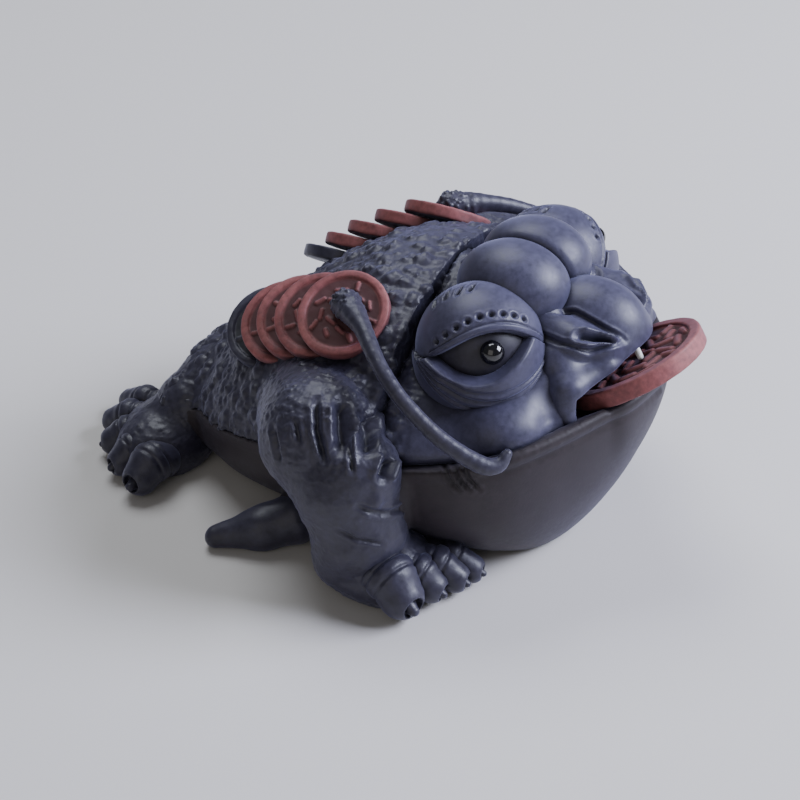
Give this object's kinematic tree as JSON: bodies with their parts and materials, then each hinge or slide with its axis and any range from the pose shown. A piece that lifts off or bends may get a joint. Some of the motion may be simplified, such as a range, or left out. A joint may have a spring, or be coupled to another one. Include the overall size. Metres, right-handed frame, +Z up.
{
  "type": "money toad tea pet",
  "caption": "Squat clay toad figurine that sits on a tea tray, with strings of coins on its back and a loose coin resting in its open mouth.",
  "frame": {"origin": "centre of the bounding box, on the surface the toad sits on", "axes": "+Z up; the toad faces -Y; +X is the toad's own left"},
  "size_m": [0.0992, 0.1219, 0.0568],
  "materials": {
    "purple_clay": "unglazed purple clay, hand-burnished to a low sheen",
    "red_clay": "unglazed red clay, matt",
    "white_clay": "white clay, smooth",
    "black_glaze": "black glass-like bead, glossy"
  },
  "bodies": {
    "toad": {"back_shell": "purple_clay", "belly_shell": "purple_clay", "brow_left": "purple_clay", "brow_right": "purple_clay", "cord_left": "purple_clay", "cord_right": "purple_clay", "eyeball_left": "purple_clay", "eyeball_right": "purple_clay", "flank_toe_left": "purple_clay", "flank_toe_right": "purple_clay", "forefoot_left": "purple_clay", "forefoot_right": "purple_clay", "forefoot_toe_left_1": "purple_clay", "forefoot_toe_left_2": "purple_clay", "forefoot_toe_left_3": "purple_clay", "forefoot_toe_left_4": "purple_clay", "forefoot_toe_right_1": "purple_clay", "forefoot_toe_right_2": "purple_clay", "forefoot_toe_right_3": "purple_clay", "forefoot_toe_right_4": "purple_clay", "foreleg_left": "purple_clay", "foreleg_right": "purple_clay", "head_shell": "purple_clay", "hind_foot": "purple_clay", "hind_foot_toe_1": "purple_clay", "hind_foot_toe_2": "purple_clay", "hind_foot_toe_3": "purple_clay", "hind_foot_toe_4": "purple_clay", "hind_foot_toe_5": "purple_clay", "hind_leg": "purple_clay", "lower_lid_left": "purple_clay", "lower_lid_right": "purple_clay", "muzzle": "purple_clay", "pupil_left": "black_glaze", "pupil_right": "black_glaze", "string_coin_left_1": "red_clay", "string_coin_left_2": "red_clay", "string_coin_left_3": "red_clay", "string_coin_left_4": "red_clay", "string_coin_right_1": "red_clay", "string_coin_right_2": "red_clay", "string_coin_right_3": "red_clay", "string_coin_right_4": "red_clay", "string_end_left": "purple_clay", "string_end_right": "purple_clay", "tongue": "purple_clay", "tooth": "white_clay", "upper_lid_left": "purple_clay", "upper_lid_right": "purple_clay"},
    "coin": {"mouth_coin": "red_clay"}
  },
  "joints": [
    {"name": "mouth_coin_slide", "type": "slide", "parent": "toad", "child": "coin", "axis": [0, -0.848, 0.5299], "range_m": [0, 0.03]}
  ]
}
